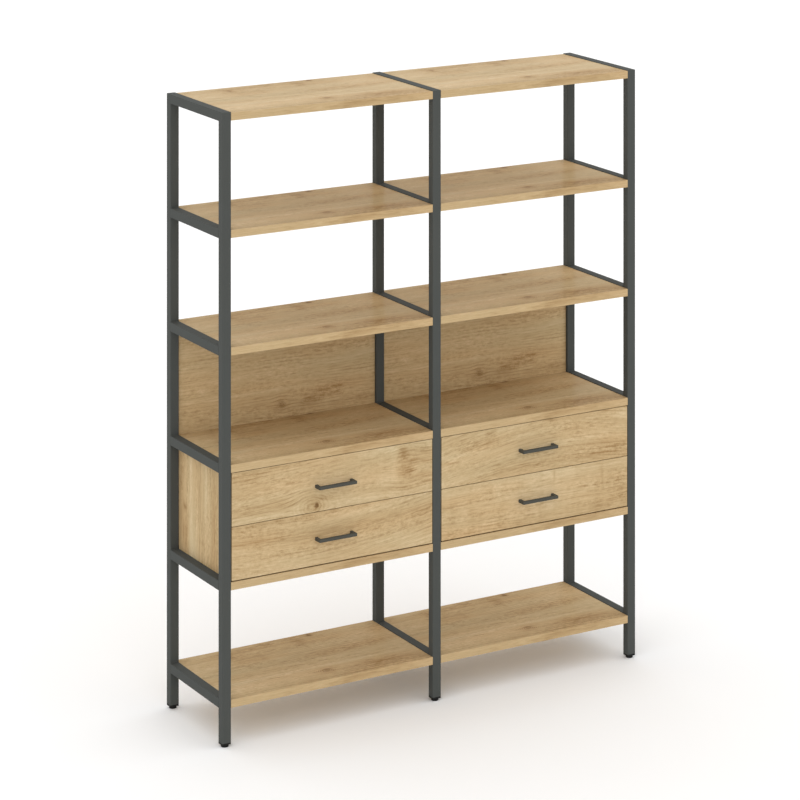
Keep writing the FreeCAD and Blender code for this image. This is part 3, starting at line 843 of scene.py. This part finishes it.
class BOOKCASE_OT_shelves(bpy.types.Operator):
    """Finish the twelve shelves in oak"""

    bl_idname = "bookcase.shelves"
    bl_label = "Shelves"

    def execute(self, context):
        for bay in BAYS:
            for level in range(1, SHELF_LEVELS + 1):
                node = f"{bay}_shelf_{level}"
                dress(node, oak_material(node, (0, 1, 2), SHELF_FIGURE))
                soften(node, BOARD_EDGE)
        return {"FINISHED"}


class BOOKCASE_OT_panels(bpy.types.Operator):
    """Finish the niche backs and the drawer bay's backs and sides in oak"""

    bl_idname = "bookcase.panels"
    bl_label = "Back and Side Panels"

    def execute(self, context):
        for bay in BAYS:
            for name, figure in (("niche_back", BACK_FIGURE), ("drawer_bay_back", DRAWER_BAY_BACK_FIGURE)):
                node = f"{bay}_{name}"
                dress(node, oak_material(node, (0, 2, 1), figure))
                soften(node, BOARD_EDGE)
            for hand in ("left", "right"):
                node = f"{bay}_drawer_bay_{hand}_side"
                dress(node, oak_material(node, (2, 1, 0), SIDE_FIGURE))
                soften(node, BOARD_EDGE)
        return {"FINISHED"}


class BOOKCASE_OT_drawer_fronts(bpy.types.Operator):
    """Finish the four drawer fronts in oak"""

    bl_idname = "bookcase.drawer_fronts"
    bl_label = "Drawer Fronts"

    def execute(self, context):
        for drawer in DRAWERS:
            node = drawer + "_front"
            dress(node, oak_material(node, (0, 2, 1), FRONT_FIGURES[drawer]))
            soften(node, BOARD_EDGE)
        return {"FINISHED"}


class BOOKCASE_OT_drawer_boxes(bpy.types.Operator):
    """Finish the drawer boxes and their bottoms"""

    bl_idname = "bookcase.drawer_boxes"
    bl_label = "Drawer Boxes"

    def execute(self, context):
        for drawer in DRAWERS:
            dress(drawer + "_box", box_material())
            soften(drawer + "_box", BOARD_EDGE)
            dress(drawer + "_bottom", bottom_material())
        return {"FINISHED"}


class BOOKCASE_OT_runners(bpy.types.Operator):
    """Plate the telescopic runners"""

    bl_idname = "bookcase.runners"
    bl_label = "Runners"

    def execute(self, context):
        for bay in BAYS:
            dress(f"{bay}_cabinet_runners", zinc_material())
        for drawer in DRAWERS:
            dress(drawer + "_runners", zinc_material())
            dress(drawer + "_middle_runners", zinc_material())
        return {"FINISHED"}


class BOOKCASE_OT_runner_screws(bpy.types.Operator):
    """Screw the drawer members of the runners to the boxes"""

    bl_idname = "bookcase.runner_screws"
    bl_label = "Runner Screws"

    def execute(self, context):
        for drawer in DRAWERS:
            runner_low, runner_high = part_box(drawer + "_runners")
            box_low, box_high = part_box(drawer + "_box")
            middle_z = (runner_low[2] + runner_high[2]) / 2
            front, rear = runner_low[1] + RUNNER_SCREW_INSET, runner_high[1] - RUNNER_SCREW_INSET
            shape = bmesh.new()
            for web_x, out_x in ((box_low[0] - RUNNER_WALL, -1), (box_high[0] + RUNNER_WALL, 1)):
                for y in (front, (front + rear) / 2, rear):
                    screw_head(shape, (web_x, y, middle_z), out_x)
            add_piece(drawer + "_runner_screws", shape, zinc_material(), drawer)
        return {"FINISHED"}


class BOOKCASE_OT_handles(bpy.types.Operator):
    """Coat the handles"""

    bl_idname = "bookcase.handles"
    bl_label = "Handles"

    def execute(self, context):
        for drawer in DRAWERS:
            dress(drawer + "_handle", handle_material())
        return {"FINISHED"}


class BOOKCASE_OT_feet(bpy.types.Operator):
    """Finish the end caps and the levelling feet"""

    bl_idname = "bookcase.feet"
    bl_label = "Caps and Feet"

    def execute(self, context):
        dress("post_end_caps", plastic_material())
        for side in ("left", "middle", "right"):
            for end in ("front", "rear"):
                dress(f"{side}_{end}_foot", plastic_material())
        return {"FINISHED"}


class BOOKCASE_OT_fixings(bpy.types.Operator):
    """Finish the shelf screws and the panel dowels"""

    bl_idname = "bookcase.fixings"
    bl_label = "Screws and Dowels"

    def execute(self, context):
        dress("shelf_screws", zinc_material())
        dress("panel_dowels", dowel_material())
        return {"FINISHED"}


def white_for_lens(tree):
    """One for what the lens, mirrors and glass see, and zero for light that bounces."""
    path = place(tree, "LightPath")
    seen = calc(tree, "ADD", path.outputs["Is Camera Ray"], path.outputs["Is Glossy Ray"])
    return calc(tree, "MINIMUM", calc(tree, "ADD", seen, path.outputs["Is Transmission Ray"]), 1.0)


def studio_floor(studio):
    """A plain pale floor, nearly white to the lens, that takes the bookcase's shadow."""
    mesh = bpy.data.meshes.new("studio_floor")
    shape = bmesh.new()
    bmesh.ops.create_circle(shape, cap_ends=True, segments=96, radius=studio.floor_radius)
    shape.to_mesh(mesh)
    shape.free()
    floor = bpy.data.objects.new("studio_floor", mesh)
    bpy.context.scene.collection.objects.link(floor)
    material, tree, shader = new_material("studio_floor")
    colour = blend(tree, white_for_lens(tree), (*studio.floor_bounce, 1.0), (*studio.floor, 1.0))
    tree.links.new(colour, shader.inputs["Base Color"])
    shader.inputs["Roughness"].default_value = 1.0
    shader.inputs["Specular IOR Level"].default_value = 0.0
    mesh.materials.append(material)


def studio_sky(studio):
    """Soft light from all round, brighter overhead, that is white to the lens."""
    world = bpy.data.worlds.new("studio_sky")
    world.use_nodes = True
    tree = world.node_tree
    tree.nodes.clear()
    height = place(tree, "SeparateXYZ", {0: place(tree, "TexCoord").outputs["Generated"]}).outputs[2]
    overhead = studio.sky_strength
    sky = remap(tree, height, 0.0, 1.0, overhead * studio.horizon_share, overhead)
    white = white_for_lens(tree)
    level = calc(tree, "ADD", calc(tree, "MULTIPLY", calc(tree, "SUBTRACT", 1.0, sky), white), sky)
    background = place(tree, "Background", {"Color": (1.0, 1.0, 1.0, 1.0), "Strength": level})
    output = place(tree, "OutputWorld")
    tree.links.new(background.outputs[0], output.inputs["Surface"])
    bpy.context.scene.world = world


def studio_fill(studio):
    """Soft light from beside the camera."""
    lamp = bpy.data.lights.new("front_fill", "SUN")
    lamp.energy = studio.fill_strength
    lamp.angle = studio.fill_spread
    fill = bpy.data.objects.new("front_fill", lamp)
    fill.rotation_euler = (math.pi / 2 - studio.fill_elevation, 0.0, studio.camera_azimuth)
    bpy.context.scene.collection.objects.link(fill)


def upright_camera(studio):
    """A camera that looks down with an upright picture plane, so that uprights stay parallel."""
    azimuth = studio.camera_azimuth
    drop = math.atan((studio.picture_size / 2 - studio.horizon_row) / studio.focal_pixels)
    level_right = Vector((math.cos(azimuth), math.sin(azimuth), 0.0))
    level_ahead = Vector((-math.sin(azimuth), math.cos(azimuth), 0.0))
    up = Vector((0.0, 0.0, 1.0))
    backward = up * math.sin(drop) - level_ahead * math.cos(drop)
    lean = Matrix((level_right, up, backward)).transposed().to_4x4()
    data = bpy.data.cameras.new("view_camera")
    data.sensor_width = 36.0
    data.lens = studio.focal_pixels / math.cos(drop) * data.sensor_width / studio.picture_size
    camera = bpy.data.objects.new("view_camera", data)
    stand = bpy.data.objects.new("camera_stand", None)
    for item in (stand, camera):
        bpy.context.scene.collection.objects.link(item)
    camera.parent = stand
    camera.matrix_parent_inverse = Matrix.Translation(studio.camera_place) @ lean
    bpy.context.scene.camera = camera


class BOOKCASE_OT_stage(bpy.types.Operator):
    """Set the floor, the light and the camera"""

    bl_idname = "bookcase.stage"
    bl_label = "Studio"

    def execute(self, context):
        studio = context.scene.bookcase_studio
        context.scene.view_settings.view_transform = "Standard"
        studio_floor(studio)
        studio_sky(studio)
        studio_fill(studio)
        upright_camera(studio)
        return {"FINISHED"}


OPERATORS = (
    BOOKCASE_OT_frames,
    BOOKCASE_OT_welds,
    BOOKCASE_OT_shelves,
    BOOKCASE_OT_panels,
    BOOKCASE_OT_drawer_fronts,
    BOOKCASE_OT_drawer_boxes,
    BOOKCASE_OT_runners,
    BOOKCASE_OT_runner_screws,
    BOOKCASE_OT_handles,
    BOOKCASE_OT_feet,
    BOOKCASE_OT_fixings,
    BOOKCASE_OT_stage,
)
SETTINGS = {
    "bookcase_oak": BookcaseOak,
    "bookcase_steel": BookcaseSteel,
    "bookcase_studio": BookcaseStudio,
}


class BOOKCASE_PT_sidebar(bpy.types.Panel):
    """Settings and steps of the bookcase"""

    bl_label = "Bookcase"
    bl_idname = "BOOKCASE_PT_sidebar"
    bl_space_type = "VIEW_3D"
    bl_region_type = "UI"
    bl_category = "Bookcase"

    def draw(self, context):
        for name in SETTINGS:
            settings = getattr(context.scene, name)
            for field in settings.__annotations__:
                self.layout.prop(settings, field)
        for operator in OPERATORS:
            self.layout.operator(operator.bl_idname)


def register():
    """Register the classes and give the scene its settings."""
    for kind in (*SETTINGS.values(), *OPERATORS, BOOKCASE_PT_sidebar):
        bpy.utils.register_class(kind)
    for name, kind in SETTINGS.items():
        setattr(bpy.types.Scene, name, PointerProperty(type=kind))


def unregister():
    """Take back what register did."""
    for name in SETTINGS:
        delattr(bpy.types.Scene, name)
    for kind in (BOOKCASE_PT_sidebar, *reversed(OPERATORS), *SETTINGS.values()):
        bpy.utils.unregister_class(kind)


def main():
    """Finish the bookcase and set its stage."""
    register()
    for operator in OPERATORS:
        family, name = operator.bl_idname.split(".")
        getattr(getattr(bpy.ops, family), name)()


if __name__ == "__main__":
    main()
